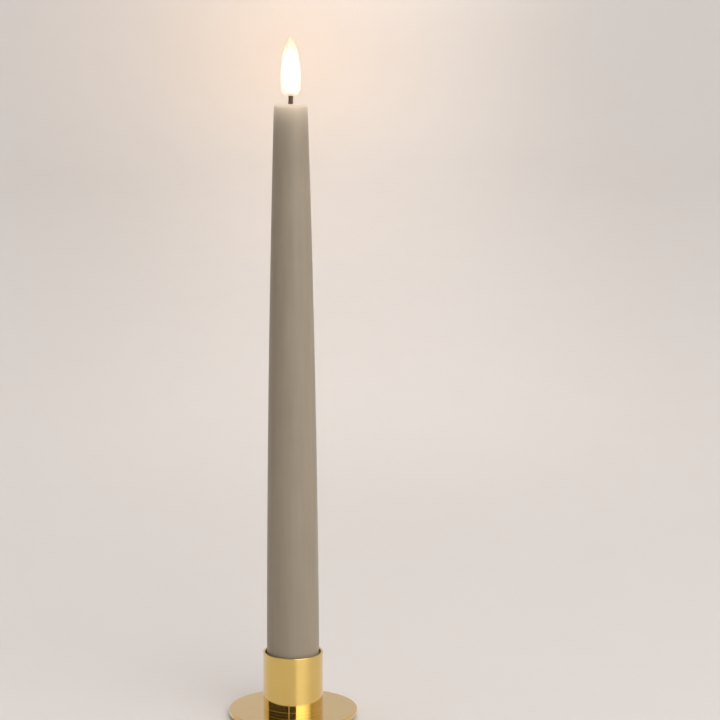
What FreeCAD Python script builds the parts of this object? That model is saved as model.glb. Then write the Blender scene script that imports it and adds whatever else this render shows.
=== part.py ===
import FreeCAD, Part
import Sketcher
import math
import os

# A flameless LED taper candle standing in its brass cup holder. Millimetres, +Z up the candle.
# The origin is the centre of the felt pad's underside, where the holder meets the table.
# From the table up: the holder (felt, plate, cup), the pull-out battery tray whose end cap stands
# on the cup's floor, and the shell (wax coat, tube, wick and flame) that stands on the end cap.

V = FreeCAD.Vector

DIMENSIONS = {
    # Holder
    "felt_diameter": 50.0,
    "felt_thickness": 1.0,
    "plate_diameter": 54.4,
    "plate_thickness": 2.0,
    "plate_chamfer": 0.3,
    "cup_diameter": 25.4,
    "cup_wall": 0.95,
    "cup_rise": 24.9,
    "cup_chamfer": 0.2,
    "flange_thickness": 1.4,
    "spigot_rise": 2.0,
    "spigot_play": 0.02,
    "seam_chamfer": 0.06,
    "holder_screw_diameter": 3.0,
    "holder_screw_head": 5.6,
    "holder_screw_head_height": 1.3,
    "holder_screw_socket": 2.0,
    "holder_screw_depth": 0.8,
    "holder_screw_length": 4.6,
    "screw_play": 0.02,
    # End cap and switch
    "cap_diameter": 21.6,
    "cap_thickness": 2.2,
    "cap_chamfer": 0.3,
    "recess_length": 13.0,
    "recess_width": 6.0,
    "recess_depth": 1.0,
    "slot_length": 6.4,
    "slot_width": 2.4,
    "knob_length": 1.8,
    "knob_width": 1.6,
    "knob_height": 4.9,
    "knob_tip_gap": 0.3,
    "knob_chamfer": 0.25,
    "switch_length": 8.6,
    "switch_width": 3.6,
    "switch_height": 3.7,
    "switch_slot_length": 6.2,
    "switch_slot_width": 2.0,
    "switch_slot_depth": 1.5,
    "cap_screw_offset": 5.6,
    "cap_screw_diameter": 1.6,
    "cap_screw_length": 6.4,
    "cap_screw_head": 3.0,
    "cap_screw_head_height": 0.9,
    "cap_screw_counterbore": 3.4,
    "cap_screw_counterbore_depth": 1.2,
    "cap_screw_cross_length": 1.8,
    "cap_screw_cross_width": 0.4,
    "cap_screw_cross_depth": 0.45,
    # Timer board, at the foot of the tray
    "board_rise": 5.4,
    "board_thickness": 1.0,
    "board_diameter": 13.6,
    "board_notch": 4.0,
    "chip_length": 4.9,
    "chip_width": 3.9,
    "chip_height": 1.5,
    "leg_width": 0.42,
    "leg_reach": 1.05,
    "leg_thickness": 0.2,
    "leg_pitch": 1.27,
    "resistor_length": 2.0,
    "resistor_width": 1.25,
    "resistor_height": 0.55,
    "resistor_offset": 4.6,
    "resistor_spacing": 2.4,
    # Battery tray
    "plug_diameter": 16.6,
    "plug_rise": 13.4,
    "plug_cavity_diameter": 14.0,
    "ledge_diameter": 12.4,
    "web_thickness": 1.5,
    "groove_rise": 8.7,
    "groove_width": 1.4,
    "groove_diameter": 15.2,
    "ring_rise": 9.4,
    "ring_thickness": 1.1,
    "ring_diameter": 17.4,
    "boss_diameter": 3.2,
    "tray_diameter": 13.2,
    "tray_bore": 10.9,
    "tray_wall_top": 2.0,
    "tray_opening_offset": 2.0,
    "tray_opening_lip": 0.4,
    "strip_width": 2.4,
    "strip_thickness": 0.3,
    "strip_offset": 6.15,
    "strip_play": 0.05,
    "strip_slot_width": 2.6,
    "leaf_rise": 1.8,
    "leaf_run": 1.2,
    "ground_leaf_base": 4.65,
    "window_width": 5.0,
    "window_height": 16.0,
    # Batteries, size AAA
    "cell_length": 44.5,
    "cell_diameter": 10.5,
    "cell_nub_diameter": 3.8,
    "cell_nub_height": 0.9,
    "cell_edge": 0.5,
    "cell_dimple_diameter": 7.4,
    "cell_dimple_depth": 0.2,
    "contact_diameter": 7.0,
    "contact_thickness": 0.6,
    "contact_leg_offset": 4.4,
    "contact_leg_width": 2.0,
    "contact_leg_thickness": 0.4,
    "spring_space": 5.4,
    "spring_diameter": 7.0,
    "spring_wire": 0.5,
    "spring_end_diameter": 5.0,
    "spring_turns": 4.0,
    "spring_flat_turns": 0.6,
    # Shell
    "wax_base_diameter": 22.25,
    "wax_top_diameter": 13.92,
    "candle_rise": 252.8,
    "wax_bulge": 0.85,
    "wax_base_thickness": 1.2,
    "wax_edge_radius": 0.7,
    "wax_roof": 6.1,
    "wax_crown_rise": 0.6,
    "tube_top_thickness": 1.2,
    "tube_wall": 1.0,
    "shoulder_rise": 114.4,
    "shoulder_thickness": 1.0,
    "shoulder_bore": 11.6,
    "contact_board_diameter": 13.7,
    "plug_flange": 11.0,
    "top_plug_spigot": 9.2,
    "top_plug_depth": 6.0,
    "top_plug_flange_thickness": 1.0,
    # Wick, lamp and flame
    "wick_diameter": 2.1,
    "wick_bore": 1.5,
    "wick_visible": 4.1,
    "wick_buried": 8.0,
    "wick_overlap": 1.1,
    "wick_play": 0.05,
    "flame_height": 23.7,
    "flame_foot_diameter": 4.6,
    "flame_heel_diameter": 7.2,
    "flame_heel_rise": 1.15,
    "flame_cheek_diameter": 7.9,
    "flame_cheek_rise": 3.7,
    "flame_belly_diameter": 8.14,
    "flame_belly_rise": 8.6,
    "flame_waist_diameter": 6.84,
    "flame_waist_rise": 14.8,
    "flame_brow_diameter": 4.6,
    "flame_brow_rise": 19.8,
    "flame_tip_diameter": 0.7,
    "flame_tip_rise": 0.25,
    "flame_wall": 0.9,
    "flame_tip_wall": 2.2,
    "lamp_flange_diameter": 3.4,
    "lamp_flange_height": 0.5,
    "lamp_diameter": 2.9,
    "lamp_crown_diameter": 0.8,
    "lamp_height": 4.4,
    "lamp_lead_diameter": 0.44,
    "lamp_lead_offset": 0.42,
    "wire_diameter": 1.0,
    "wire_foot_offset": 2.4,
    "wire_top_offset": 0.62,
}

doc = FreeCAD.newDocument("flameless_led_candle")
sheet = doc.addObject("Spreadsheet::Sheet", "Sizes")
for row, (alias, number) in enumerate(DIMENSIONS.items(), start=1):
    sheet.set(f"A{row}", alias)
    sheet.set(f"B{row}", str(number))
    sheet.setAlias(f"B{row}", alias)
doc.recompute()


class Size:
    """A length with its value in millimetres and the expression that binds it to the sheet."""

    def __init__(self, value, text):
        self.value = value
        self.text = text

    def __add__(self, other):
        other = size_of(other)
        return Size(self.value + other.value, f"({self.text} + {other.text})")

    def __sub__(self, other):
        other = size_of(other)
        return Size(self.value - other.value, f"({self.text} - {other.text})")

    def __mul__(self, other):
        other = size_of(other)
        return Size(self.value * other.value, f"({self.text} * {other.text})")

    def __truediv__(self, other):
        other = size_of(other)
        return Size(self.value / other.value, f"({self.text} / {other.text})")

    def __neg__(self):
        return Size(-self.value, f"(0 - {self.text})")


def size_of(value):
    """A plain number as a Size; a Size stays as it is."""
    return value if isinstance(value, Size) else Size(float(value), str(value))


def cell(alias):
    return Size(float(sheet.get(alias)), f"Sizes.{alias}")


def half(alias):
    return cell(alias) / 2


HALF_ROOT_TWO = round(math.sqrt(0.5), 6)
CROWN_SHARE = 0.7
TOLERANCE = 1e-4
WIRE_VOLUME_TOLERANCE = 0.01
SPRING_POINTS_A_TURN = 10

# Levels up the candle, from the table
PLATE_BOTTOM = cell("felt_thickness")
PLATE_TOP = PLATE_BOTTOM + cell("plate_thickness")
FLANGE_TOP = PLATE_TOP + cell("flange_thickness")
CUP_TOP = PLATE_TOP + cell("cup_rise")
SEAT = FLANGE_TOP + cell("spigot_rise")
CAP_TOP = SEAT + cell("cap_thickness")
BOARD_TOP = CAP_TOP + cell("board_rise") + cell("board_thickness")
BOARD_BOTTOM = CAP_TOP + cell("board_rise")
PLUG_TOP = CAP_TOP + cell("plug_rise")
CONTACT_TOP = PLUG_TOP + cell("contact_thickness")
CELLS_TOP = CONTACT_TOP + cell("cell_length") * 2
TRAY_ROOF = CELLS_TOP + cell("spring_space")
TRAY_TOP = TRAY_ROOF + cell("tray_wall_top")
WAX_TOP = SEAT + cell("candle_rise")
TUBE_TOP = WAX_TOP - cell("wax_roof") - cell("top_plug_flange_thickness")
SHOULDER_TOP = CAP_TOP + cell("shoulder_rise")
SHOULDER_BOTTOM = SHOULDER_TOP - cell("shoulder_thickness")
FLAME_FOOT = WAX_TOP + cell("wick_visible")
LAMP_FOOT = FLAME_FOOT + cell("wick_overlap")
WICK_FOOT = WAX_TOP - cell("wax_roof") - cell("wick_buried")

# The tube's outside is a cone, and the wax lies on it
TUBE_BASE_RADIUS = half("wax_base_diameter") - cell("wax_base_thickness")
TUBE_TOP_RADIUS = half("wax_top_diameter") - cell("tube_top_thickness")
TUBE_TAPER = (TUBE_BASE_RADIUS - TUBE_TOP_RADIUS) / (TUBE_TOP - CAP_TOP)


def tube_radius(level):
    """The tube's outer radius at a level."""
    return TUBE_BASE_RADIUS - TUBE_TAPER * (level - CAP_TOP)


def bore_radius(level):
    """The tube's inner radius at a level."""
    return tube_radius(level) - cell("tube_wall")


# Building blocks
SUBPARTS = []


def bind(obj, **sizes):
    for name, size in sizes.items():
        size = size_of(size)
        setattr(obj, name, size.value)
        obj.setExpression(name, size.text)


def place(obj, x=0, y=0, z=0):
    """Places an object and binds the coordinates that aren't zero."""
    coordinates = {"x": size_of(x), "y": size_of(y), "z": size_of(z)}
    obj.Placement.Base = V(*(size.value for size in coordinates.values()))
    for axis, size in coordinates.items():
        if size.value:
            obj.setExpression(f"Placement.Base.{axis}", size.text)


def subpart(obj, label):
    obj.Label = label
    SUBPARTS.append(obj)
    return obj


def new_body(label):
    return subpart(doc.addObject("PartDesign::Body", f"{label}_body"), label)


def new_sketch(body, name, plane, level=0):
    """A sketch on one of the body's origin planes, moved out along the plane's normal by level."""
    sketch = body.newObject("Sketcher::SketchObject", f"{body.Label}_{name}")
    origin_plane = [f for f in body.Origin.OriginFeatures if f.Role == plane][0]
    sketch.AttachmentSupport = [(origin_plane, "")]
    sketch.MapMode = "FlatFace"
    level = size_of(level)
    if level.value:
        sketch.AttachmentOffset = FreeCAD.Placement(V(0, 0, level.value), FreeCAD.Rotation())
        sketch.setExpression("AttachmentOffset.Base.z", level.text)
    return sketch


def pin(sketch, geometry, point, across, along):
    """Fixes a point of a sketch by its two coordinates."""
    for kind, axis, size in (("DistanceX", -2, across), ("DistanceY", -1, along)):
        size = size_of(size)
        if size.value == 0:
            sketch.addConstraint(Sketcher.Constraint("PointOnObject", geometry, point, axis))
        else:
            constraint = Sketcher.Constraint(kind, -1, 1, geometry, point, size.value)
            index = sketch.addConstraint(constraint)
            sketch.setExpression(f"Constraints[{index}]", size.text)


def point_of(corner):
    return V(size_of(corner[0]).value, size_of(corner[1]).value, 0)


def draw_outline(sketch, corners, through=None):
    """A closed outline. through names, by corner number, a point that the side after it arcs through."""
    through = through or {}
    corners = list(corners)
    first = len(sketch.Geometry)
    for number, corner in enumerate(corners):
        start = point_of(corner)
        end = point_of(corners[(number + 1) % len(corners)])
        if number in through:
            sketch.addGeometry(Part.Arc(start, point_of(through[number]), end))
        else:
            sketch.addGeometry(Part.LineSegment(start, end))
    # An arc keeps its angles anticlockwise, so the ends that meet are found by their places
    sides = [first + number for number in range(len(corners))]
    after = sides[1:] + sides[:1]
    nexts = corners[1:] + corners[:1]
    joints = [joint_ends(sketch, *each) for each in zip(sides, after, nexts)]
    for here, there, corner, ends in zip(sides, after, nexts, joints):
        sketch.addConstraint(Sketcher.Constraint("Coincident", here, ends[0], there, ends[1]))
        pin(sketch, there, ends[1], *corner)
    for number, middle in through.items():
        guide = sketch.addGeometry(Part.Point(point_of(middle)), True)
        pin(sketch, guide, 1, *middle)
        sketch.addConstraint(Sketcher.Constraint("PointOnObject", guide, 1, first + number))


def joint_ends(sketch, here, there, corner):
    """Which ends (1 the start, 2 the end) of two neighbouring sides meet at a corner."""
    found = []
    for geometry in (here, there):
        from_start, from_end = (
            sketch.getPoint(geometry, end).distanceToPoint(point_of(corner)) for end in (1, 2)
        )
        found.append(1 if from_start < from_end else 2)
    return found


def draw_circle(sketch, x, y, radius):
    radius = size_of(radius)
    middle = point_of((x, y))
    index = sketch.addGeometry(Part.Circle(middle, V(0, 0, 1), radius.value))
    pin(sketch, index, 3, x, y)
    constraint = sketch.addConstraint(Sketcher.Constraint("Radius", index, radius.value))
    sketch.setExpression(f"Constraints[{constraint}]", radius.text)


def box_corners(low, high):
    """The corners of an upright rectangle from its lowest and highest corner."""
    return [low, (high[0], low[1]), high, (low[0], high[1])]


def turned(label, corners, through=None):
    """A body turned about the candle's axis from an outline of (radius, height) corners."""
    body = new_body(label)
    sketch = new_sketch(body, "outline", "XZ_Plane")
    draw_outline(sketch, corners, through)
    turn = body.newObject("PartDesign::Revolution", f"{label}_turn")
    turn.Profile = sketch
    turn.ReferenceAxis = (sketch, ["V_Axis"])
    turn.Angle = 360
    sketch.Visibility = False
    return body


def extruded(body, name, sketch, length, kind="Pad", both_ways=False):
    """A pad or pocket of a sketch; both_ways puts half the length on each side."""
    feature = body.newObject(f"PartDesign::{kind}", f"{body.Label}_{name}")
    feature.Profile = sketch
    if both_ways:
        feature.SideType = "Symmetric"
    bind(feature, Length=length)
    sketch.Visibility = False
    return feature


def cut(body, name, sketch, depth=None):
    """A pocket, depth deep to each side of its sketch or right through, checked to remove material."""
    doc.recompute()
    before = body.Shape.Volume
    pocket = extruded(body, name, sketch, size_of(depth or 1) * 2, "Pocket", both_ways=True)
    if depth is None:
        pocket.Type = "ThroughAll"
    doc.recompute()
    if body.Shape.Volume >= before:
        raise RuntimeError(f"{body.Label}: pocket {name} removes nothing")


def block(name, low, length, width, height):
    """A Part box from its lowest corner."""
    solid = doc.addObject("Part::Box", name)
    bind(solid, Length=length, Width=width, Height=height)
    place(solid, *low)
    return solid


def centred_block(name, x, y, z, length, width, height):
    """A Part box centred on x and y, standing on z."""
    x, y, length, width = (size_of(value) for value in (x, y, length, width))
    return block(name, (x - length / 2, y - width / 2, z), length, width, height)


def rod(name, x, y, z, radius, height):
    solid = doc.addObject("Part::Cylinder", name)
    bind(solid, Radius=radius, Height=height)
    place(solid, x, y, z)
    return solid


def joined(name, *solids):
    union = doc.addObject("Part::MultiFuse", name)
    union.Shapes = list(solids)
    return union


def grouped(label, solids):
    """Separate solids that make one sub-part, such as a set of equal screws."""
    group = doc.addObject("Part::Compound", f"{label}_group")
    group.Links = solids
    return subpart(group, label)


def difference(label, base, tool):
    result = doc.addObject("Part::Cut", f"{label}_cut")
    result.Base = base
    result.Tool = tool
    return result


def smooth_path(points):
    """Straight runs joined by tangent arcs, each as large as its two runs allow; gives the radii too."""
    share = 0.45
    edges, radii = [], []
    start = points[0]
    for before, corner, after in zip(points, points[1:], points[2:]):
        back, ahead = before - corner, after - corner
        reach = share * min(back.Length, ahead.Length)
        back.normalize()
        ahead.normalize()
        turn = math.pi - back.getAngle(ahead)
        radius = reach / math.tan(turn / 2)
        entry, leave = corner + back * reach, corner + ahead * reach
        inward = (back + ahead).normalize()
        middle = corner + inward * (radius / math.cos(turn / 2) - radius)
        edges.append(Part.LineSegment(start, entry).toShape())
        edges.append(Part.Arc(entry, middle, leave).toShape())
        start = leave
        radii.append(radius)
    edges.append(Part.LineSegment(start, points[-1]).toShape())
    return Part.Wire(edges), radii


def swept_wire(points, radius):
    """A round wire along a smooth path through points, and the path's bend radii."""
    path, radii = smooth_path(points)
    section = Part.Wire(Part.makeCircle(radius, points[0], points[1] - points[0]))
    tube = path.makePipe(Part.Face(section))
    expected = math.pi * radius**2 * path.Length
    if abs(tube.Volume / expected - 1) > WIRE_VOLUME_TOLERANCE:
        raise RuntimeError("a swept wire's volume isn't its section times its length")
    return tube, radii


# Holder
def make_felt_pad():
    body = new_body("felt_pad")
    sketch = new_sketch(body, "disc", "XY_Plane")
    draw_circle(sketch, 0, 0, half("felt_diameter"))
    extruded(body, "pad", sketch, cell("felt_thickness"))


def make_base_plate():
    """A polished disc with chamfered edges, countersunk from below for the cup's screw."""
    edge = half("plate_diameter")
    chamfer = cell("plate_chamfer")
    hole = half("holder_screw_diameter") + cell("screw_play")
    head = half("holder_screw_head") + cell("screw_play")
    turned(
        "base_plate",
        [
            (head, PLATE_BOTTOM),
            (edge - chamfer, PLATE_BOTTOM),
            (edge, PLATE_BOTTOM + chamfer),
            (edge, PLATE_TOP - chamfer),
            (edge - chamfer, PLATE_TOP),
            (hole, PLATE_TOP),
            (hole, PLATE_BOTTOM + cell("holder_screw_head_height")),
        ],
    )


def make_cup_floor():
    """The cup's flanged floor: the tube slips over its spigot, and the screw holds it to the plate."""
    edge = half("cup_diameter")
    seam = cell("seam_chamfer")
    spigot = edge - cell("cup_wall") - cell("spigot_play")
    hole = half("holder_screw_diameter") + cell("screw_play")
    turned(
        "cup_floor",
        [
            (hole, PLATE_TOP),
            (edge, PLATE_TOP),
            (edge, FLANGE_TOP - seam),
            (edge - seam, FLANGE_TOP),
            (spigot, FLANGE_TOP),
            (spigot, SEAT),
            (hole, SEAT),
        ],
    )


def make_cup_tube():
    outside = half("cup_diameter")
    inside = outside - cell("cup_wall")
    seam = cell("seam_chamfer")
    rim = cell("cup_chamfer")
    turned(
        "cup_tube",
        [
            (inside, FLANGE_TOP),
            (outside - seam, FLANGE_TOP),
            (outside, FLANGE_TOP + seam),
            (outside, CUP_TOP - rim),
            (outside - rim, CUP_TOP),
            (inside + rim, CUP_TOP),
            (inside, CUP_TOP - rim),
        ],
    )


def make_cup_screw():
    """A countersunk screw with a hexagon socket, put in from under the plate."""
    shank = half("holder_screw_diameter")
    head = half("holder_screw_head")
    top = PLATE_BOTTOM + cell("holder_screw_length")
    body = turned(
        "cup_screw",
        [
            (0, PLATE_BOTTOM),
            (head, PLATE_BOTTOM),
            (shank, PLATE_BOTTOM + cell("holder_screw_head_height")),
            (shank, top - cell("cup_chamfer")),
            (shank - cell("cup_chamfer"), top),
            (0, top),
        ],
    )
    sketch = new_sketch(body, "socket", "XY_Plane", PLATE_BOTTOM)
    corner = half("holder_screw_socket") * (2 / math.sqrt(3))
    sides = 6
    turns = [math.radians(360 / sides * number) for number in range(sides)]
    corners = [(corner * round(math.cos(a), 6), corner * round(math.sin(a), 6)) for a in turns]
    draw_outline(sketch, corners)
    cut(body, "socket_cut", sketch, cell("holder_screw_depth"))


# Battery tray, end cap and electronics
def make_end_cap():
    """The candle's foot: a disc with a finger recess and slot for the switch, and two screw holes."""
    edge = half("cap_diameter")
    chamfer = cell("cap_chamfer")
    body = turned(
        "end_cap",
        [
            (0, SEAT),
            (edge - chamfer, SEAT),
            (edge, SEAT + chamfer),
            (edge, CAP_TOP),
            (0, CAP_TOP),
        ],
    )
    recess = new_sketch(body, "recess", "XY_Plane", SEAT)
    length, width = half("recess_length"), half("recess_width")
    straight = length - width
    draw_outline(
        recess,
        [(-straight, -width), (straight, -width), (straight, width), (-straight, width)],
        {1: (length, 0), 3: (-length, 0)},
    )
    cut(body, "recess_cut", recess, cell("recess_depth"))
    slot = new_sketch(body, "slot", "XY_Plane", SEAT)
    length, width = half("slot_length"), half("slot_width")
    draw_outline(slot, box_corners((-length, -width), (length, width)))
    cut(body, "slot_cut", slot)
    for name, size, depth in (
        ("counterbores", half("cap_screw_counterbore"), cell("cap_screw_counterbore_depth")),
        ("screw_holes", half("cap_screw_diameter") + cell("screw_play"), None),
    ):
        holes = new_sketch(body, name, "XY_Plane", SEAT)
        for side in (1, -1):
            draw_circle(holes, 0, cell("cap_screw_offset") * side, size)
        cut(body, f"{name}_cut", holes, depth)


def make_battery_tray():
    """A round plug that holds the board, and above it an open trough for two cells in line."""
    plug, cavity, ledge = (
        half(alias) for alias in ("plug_diameter", "plug_cavity_diameter", "ledge_diameter")
    )
    rod_radius, bore = half("tray_diameter"), half("tray_bore")
    groove_low = CAP_TOP + cell("groove_rise")
    groove_high = groove_low + cell("groove_width")
    web_bottom = PLUG_TOP - cell("web_thickness")
    body = turned(
        "battery_tray",
        [
            (cavity, CAP_TOP),
            (plug, CAP_TOP),
            (plug, groove_low),
            (half("groove_diameter"), groove_low),
            (half("groove_diameter"), groove_high),
            (plug, groove_high),
            (plug, PLUG_TOP),
            (rod_radius, PLUG_TOP),
            (rod_radius, TRAY_TOP),
            (0, TRAY_TOP),
            (0, TRAY_ROOF),
            (bore, TRAY_ROOF),
            (bore, PLUG_TOP),
            (0, PLUG_TOP),
            (0, web_bottom),
            (ledge, web_bottom),
            (ledge, BOARD_TOP),
            (cavity, BOARD_TOP),
        ],
    )
    bosses = new_sketch(body, "bosses", "XY_Plane", CAP_TOP)
    for side in (1, -1):
        draw_circle(bosses, 0, cell("cap_screw_offset") * side, half("boss_diameter"))
    extruded(body, "boss_pad", bosses, web_bottom - CAP_TOP)
    holes = new_sketch(body, "boss_holes", "XY_Plane", CAP_TOP)
    for side in (1, -1):
        offset = cell("cap_screw_offset") * side
        draw_circle(holes, 0, offset, half("cap_screw_diameter") + cell("screw_play"))
    cut(body, "boss_hole_cut", holes, web_bottom - CAP_TOP)

    opening = new_sketch(body, "opening", "YZ_Plane")
    lip = cell("tray_opening_lip")
    low = (-cell("tray_diameter"), PLUG_TOP + lip)
    high = (-cell("tray_opening_offset"), TRAY_ROOF - lip)
    draw_outline(opening, box_corners(low, high))
    cut(body, "opening_cut", opening)

    windows = new_sketch(body, "windows", "XZ_Plane")
    for number in range(2):
        middle = CONTACT_TOP + half("cell_length") + cell("cell_length") * number
        across, rise = half("window_width"), half("window_height")
        draw_outline(windows, box_corners((-across, middle - rise), (across, middle + rise)))
    cut(body, "window_cut", windows)

    play = cell("strip_play")
    slots = new_sketch(body, "strip_slots", "XY_Plane", CAP_TOP)
    width = half("strip_slot_width")
    for side in (1, -1):
        low = ((cell("strip_offset") - play) * side, -width)
        high = ((rod_radius + play) * side, width)
        draw_outline(slots, box_corners(low, high))
    cut(body, "strip_slot_cut", slots)

    tab_slot = new_sketch(body, "tab_slot", "XZ_Plane")
    low = (-rod_radius, TRAY_ROOF - cell("strip_thickness") - play)
    draw_outline(tab_slot, box_corners(low, (cell("strip_thickness") - bore, TRAY_ROOF)))
    cut(body, "tab_slot_cut", tab_slot, width)

    leg_slot = new_sketch(body, "leg_slot", "XY_Plane", PLUG_TOP)
    middle = -cell("contact_leg_offset")
    across = half("contact_leg_thickness") + play
    along = half("contact_leg_width") + play
    draw_outline(leg_slot, box_corners((middle - across, -along), (middle + across, along)))
    cut(body, "leg_slot_cut", leg_slot, cell("web_thickness"))


def make_seal_ring():
    ring = doc.addObject("Part::Torus", "seal_ring_torus")
    bind(
        ring,
        Radius1=(cell("ring_diameter") - cell("ring_thickness")) / 2,
        Radius2=half("ring_thickness"),
    )
    place(ring, z=CAP_TOP + cell("ring_rise"))
    subpart(ring, "seal_ring")


def make_cap_screws():
    """Two pan-head screws up through the end cap into the tray's bosses."""
    head_level = SEAT + cell("cap_screw_counterbore_depth") - cell("cap_screw_head_height")
    head_size = half("cap_screw_head"), cell("cap_screw_head_height")
    shank_size = half("cap_screw_diameter"), cell("cap_screw_length")
    length, width = cell("cap_screw_cross_length"), cell("cap_screw_cross_width")
    screws = []
    for number, side in enumerate((1, -1)):
        name = f"cap_screw_{number}"
        place_of_screw = (0, cell("cap_screw_offset") * side, head_level)
        solid = joined(
            f"{name}_solid",
            rod(f"{name}_head", *place_of_screw, *head_size),
            rod(f"{name}_shank", *place_of_screw, *shank_size),
        )
        depth = cell("cap_screw_cross_depth")
        cross = joined(
            f"{name}_cross",
            centred_block(f"{name}_cross_x", *place_of_screw, length, width, depth),
            centred_block(f"{name}_cross_y", *place_of_screw, width, length, depth),
        )
        screws.append(difference(name, solid, cross))
    grouped("cap_screws", screws)


def make_timer_board():
    """A round board with a notch for each screw boss."""
    level, thickness = BOARD_BOTTOM, cell("board_thickness")
    disc = rod("timer_board_disc", 0, 0, level, half("board_diameter"), thickness)
    notches = [
        rod(f"timer_board_notch_{number}", 0, offset, level, half("board_notch"), thickness)
        for number, offset in enumerate((cell("cap_screw_offset"), -cell("cap_screw_offset")))
    ]
    board = difference("timer_board", disc, joined("timer_board_notches", *notches))
    subpart(board, "timer_board")


def make_timer_chip():
    """The timer chip on the board, with four bent legs along each long side."""
    body_size = cell("chip_length"), cell("chip_width"), cell("chip_height")
    solids = [centred_block("chip_case", 0, 0, BOARD_TOP + cell("leg_thickness"), *body_size)]
    legs_a_side = 4
    for side in (1, -1):
        reach = (half("chip_width") + half("leg_reach")) * side
        knee = (half("chip_width") + half("leg_thickness")) * side
        for number in range(legs_a_side):
            x = cell("leg_pitch") * (number - (legs_a_side - 1) / 2)
            name = f"chip_leg_{'a' if side > 0 else 'b'}_{number}"
            foot_size = cell("leg_width"), cell("leg_reach"), cell("leg_thickness")
            rise_size = cell("leg_width"), cell("leg_thickness"), cell("chip_height") / 2
            solids.append(centred_block(f"{name}_foot", x, reach, BOARD_TOP, *foot_size))
            solids.append(centred_block(f"{name}_rise", x, knee, BOARD_TOP, *rise_size))
    subpart(joined("timer_chip_union", *solids), "timer_chip")


def make_board_resistors():
    """Two surface-mounted resistors beside the chip."""
    size = cell("resistor_width"), cell("resistor_length"), cell("resistor_height")
    offsets = half("resistor_spacing"), -half("resistor_spacing")
    grouped(
        "board_resistors",
        [
            centred_block(f"resistor_{number}", cell("resistor_offset"), y, BOARD_TOP, *size)
            for number, y in enumerate(offsets)
        ],
    )


def make_switch():
    """The slide switch under the board, and its knob, which reaches down through the end cap."""
    bottom = BOARD_BOTTOM - cell("switch_height")
    case_size = cell("switch_length"), cell("switch_width"), cell("switch_height")
    slot_size = cell("switch_slot_length"), cell("switch_slot_width"), cell("switch_slot_depth")
    case = centred_block("switch_case", 0, 0, bottom, *case_size)
    slot = centred_block("switch_slot", 0, 0, bottom, *slot_size)
    subpart(difference("switch_housing", case, slot), "switch_housing")

    body = new_body("switch_knob")
    sketch = new_sketch(body, "stem", "XY_Plane", SEAT + cell("knob_tip_gap"))
    length, width = half("knob_length"), half("knob_width")
    draw_outline(sketch, box_corners((-length, -width), (length, width)))
    stem = extruded(body, "pad", sketch, cell("knob_height"))
    doc.recompute()
    chamfer = body.newObject("PartDesign::Chamfer", "switch_knob_chamfer")
    tip = stem.Shape.BoundBox.ZMin
    edges = [
        f"Edge{number}"
        for number, edge in enumerate(stem.Shape.Edges, start=1)
        if edge.BoundBox.ZMax < tip + TOLERANCE
    ]
    chamfer.Base = (stem, edges)
    bind(chamfer, Size=cell("knob_chamfer"))


def make_positive_contact():
    """The plate under the lower cell's positive end, with a leg down to the board."""
    thickness, width = cell("contact_thickness"), cell("contact_leg_width")
    offset, leg = cell("contact_leg_offset"), cell("contact_leg_thickness")
    plate = rod("contact_plate", 0, 0, PLUG_TOP, half("contact_diameter"), thickness)
    tab_corner = (-(offset + leg / 2), -width / 2, PLUG_TOP)
    tab = block("contact_tab", tab_corner, offset, width, thickness)
    leg_height = PLUG_TOP - BOARD_TOP
    down = centred_block("contact_leg", -offset, 0, BOARD_TOP, leg, width, leg_height)
    subpart(joined("positive_contact_union", plate, tab, down), "positive_contact")


def make_battery(label, level):
    """An AAA cell standing on its positive nub."""
    side, edge = half("cell_diameter"), cell("cell_edge")
    nub, shoulder = half("cell_nub_diameter"), cell("cell_nub_height")
    top, dimple = cell("cell_length"), half("cell_dimple_diameter")
    body = turned(
        label,
        [
            (0, 0),
            (nub - edge / 2, 0),
            (nub, edge / 2),
            (nub, shoulder),
            (side - edge, shoulder),
            (side, shoulder + edge),
            (side, top - edge),
            (side - edge, top),
            (dimple, top),
            (dimple - edge / 2, top - cell("cell_dimple_depth")),
            (0, top - cell("cell_dimple_depth")),
        ],
    )
    place(body, z=level)


def make_battery_spring():
    """The conical coil on the upper cell's negative end. Its two end coils lie nearly flat."""
    wire = half("spring_wire").value
    top = (TRAY_ROOF - cell("strip_thickness")).value - wire
    bottom = CELLS_TOP.value + wire
    wide, narrow = (half(alias).value - wire for alias in ("spring_diameter", "spring_end_diameter"))
    turns, flat = cell("spring_turns").value, cell("spring_flat_turns").value
    steps = round(turns * SPRING_POINTS_A_TURN)
    points = []
    for step in range(steps + 1):
        turn = step / SPRING_POINTS_A_TURN
        fall = min(max((turn - flat) / (turns - 2 * flat), 0), 1)
        radius = wide + (narrow - wide) * turn / turns
        angle = 2 * math.pi * turn
        level = top + (bottom - top) * fall
        points.append(V(radius * math.cos(angle), radius * math.sin(angle), level))
    tube, _ = swept_wire(points, wire)
    spring = doc.addObject("Part::Feature", "battery_spring_coil")
    spring.Shape = tube
    spring.Placement = FreeCAD.Placement()
    subpart(spring, "battery_spring")


def bent_strip(label, corners):
    """A strip bent from sheet: its edge-on outline in the XZ plane, as wide as the strip."""
    body = new_body(label)
    sketch = new_sketch(body, "bends", "XZ_Plane")
    draw_outline(sketch, corners)
    extruded(body, "pad", sketch, cell("strip_width"), both_ways=True)


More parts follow.
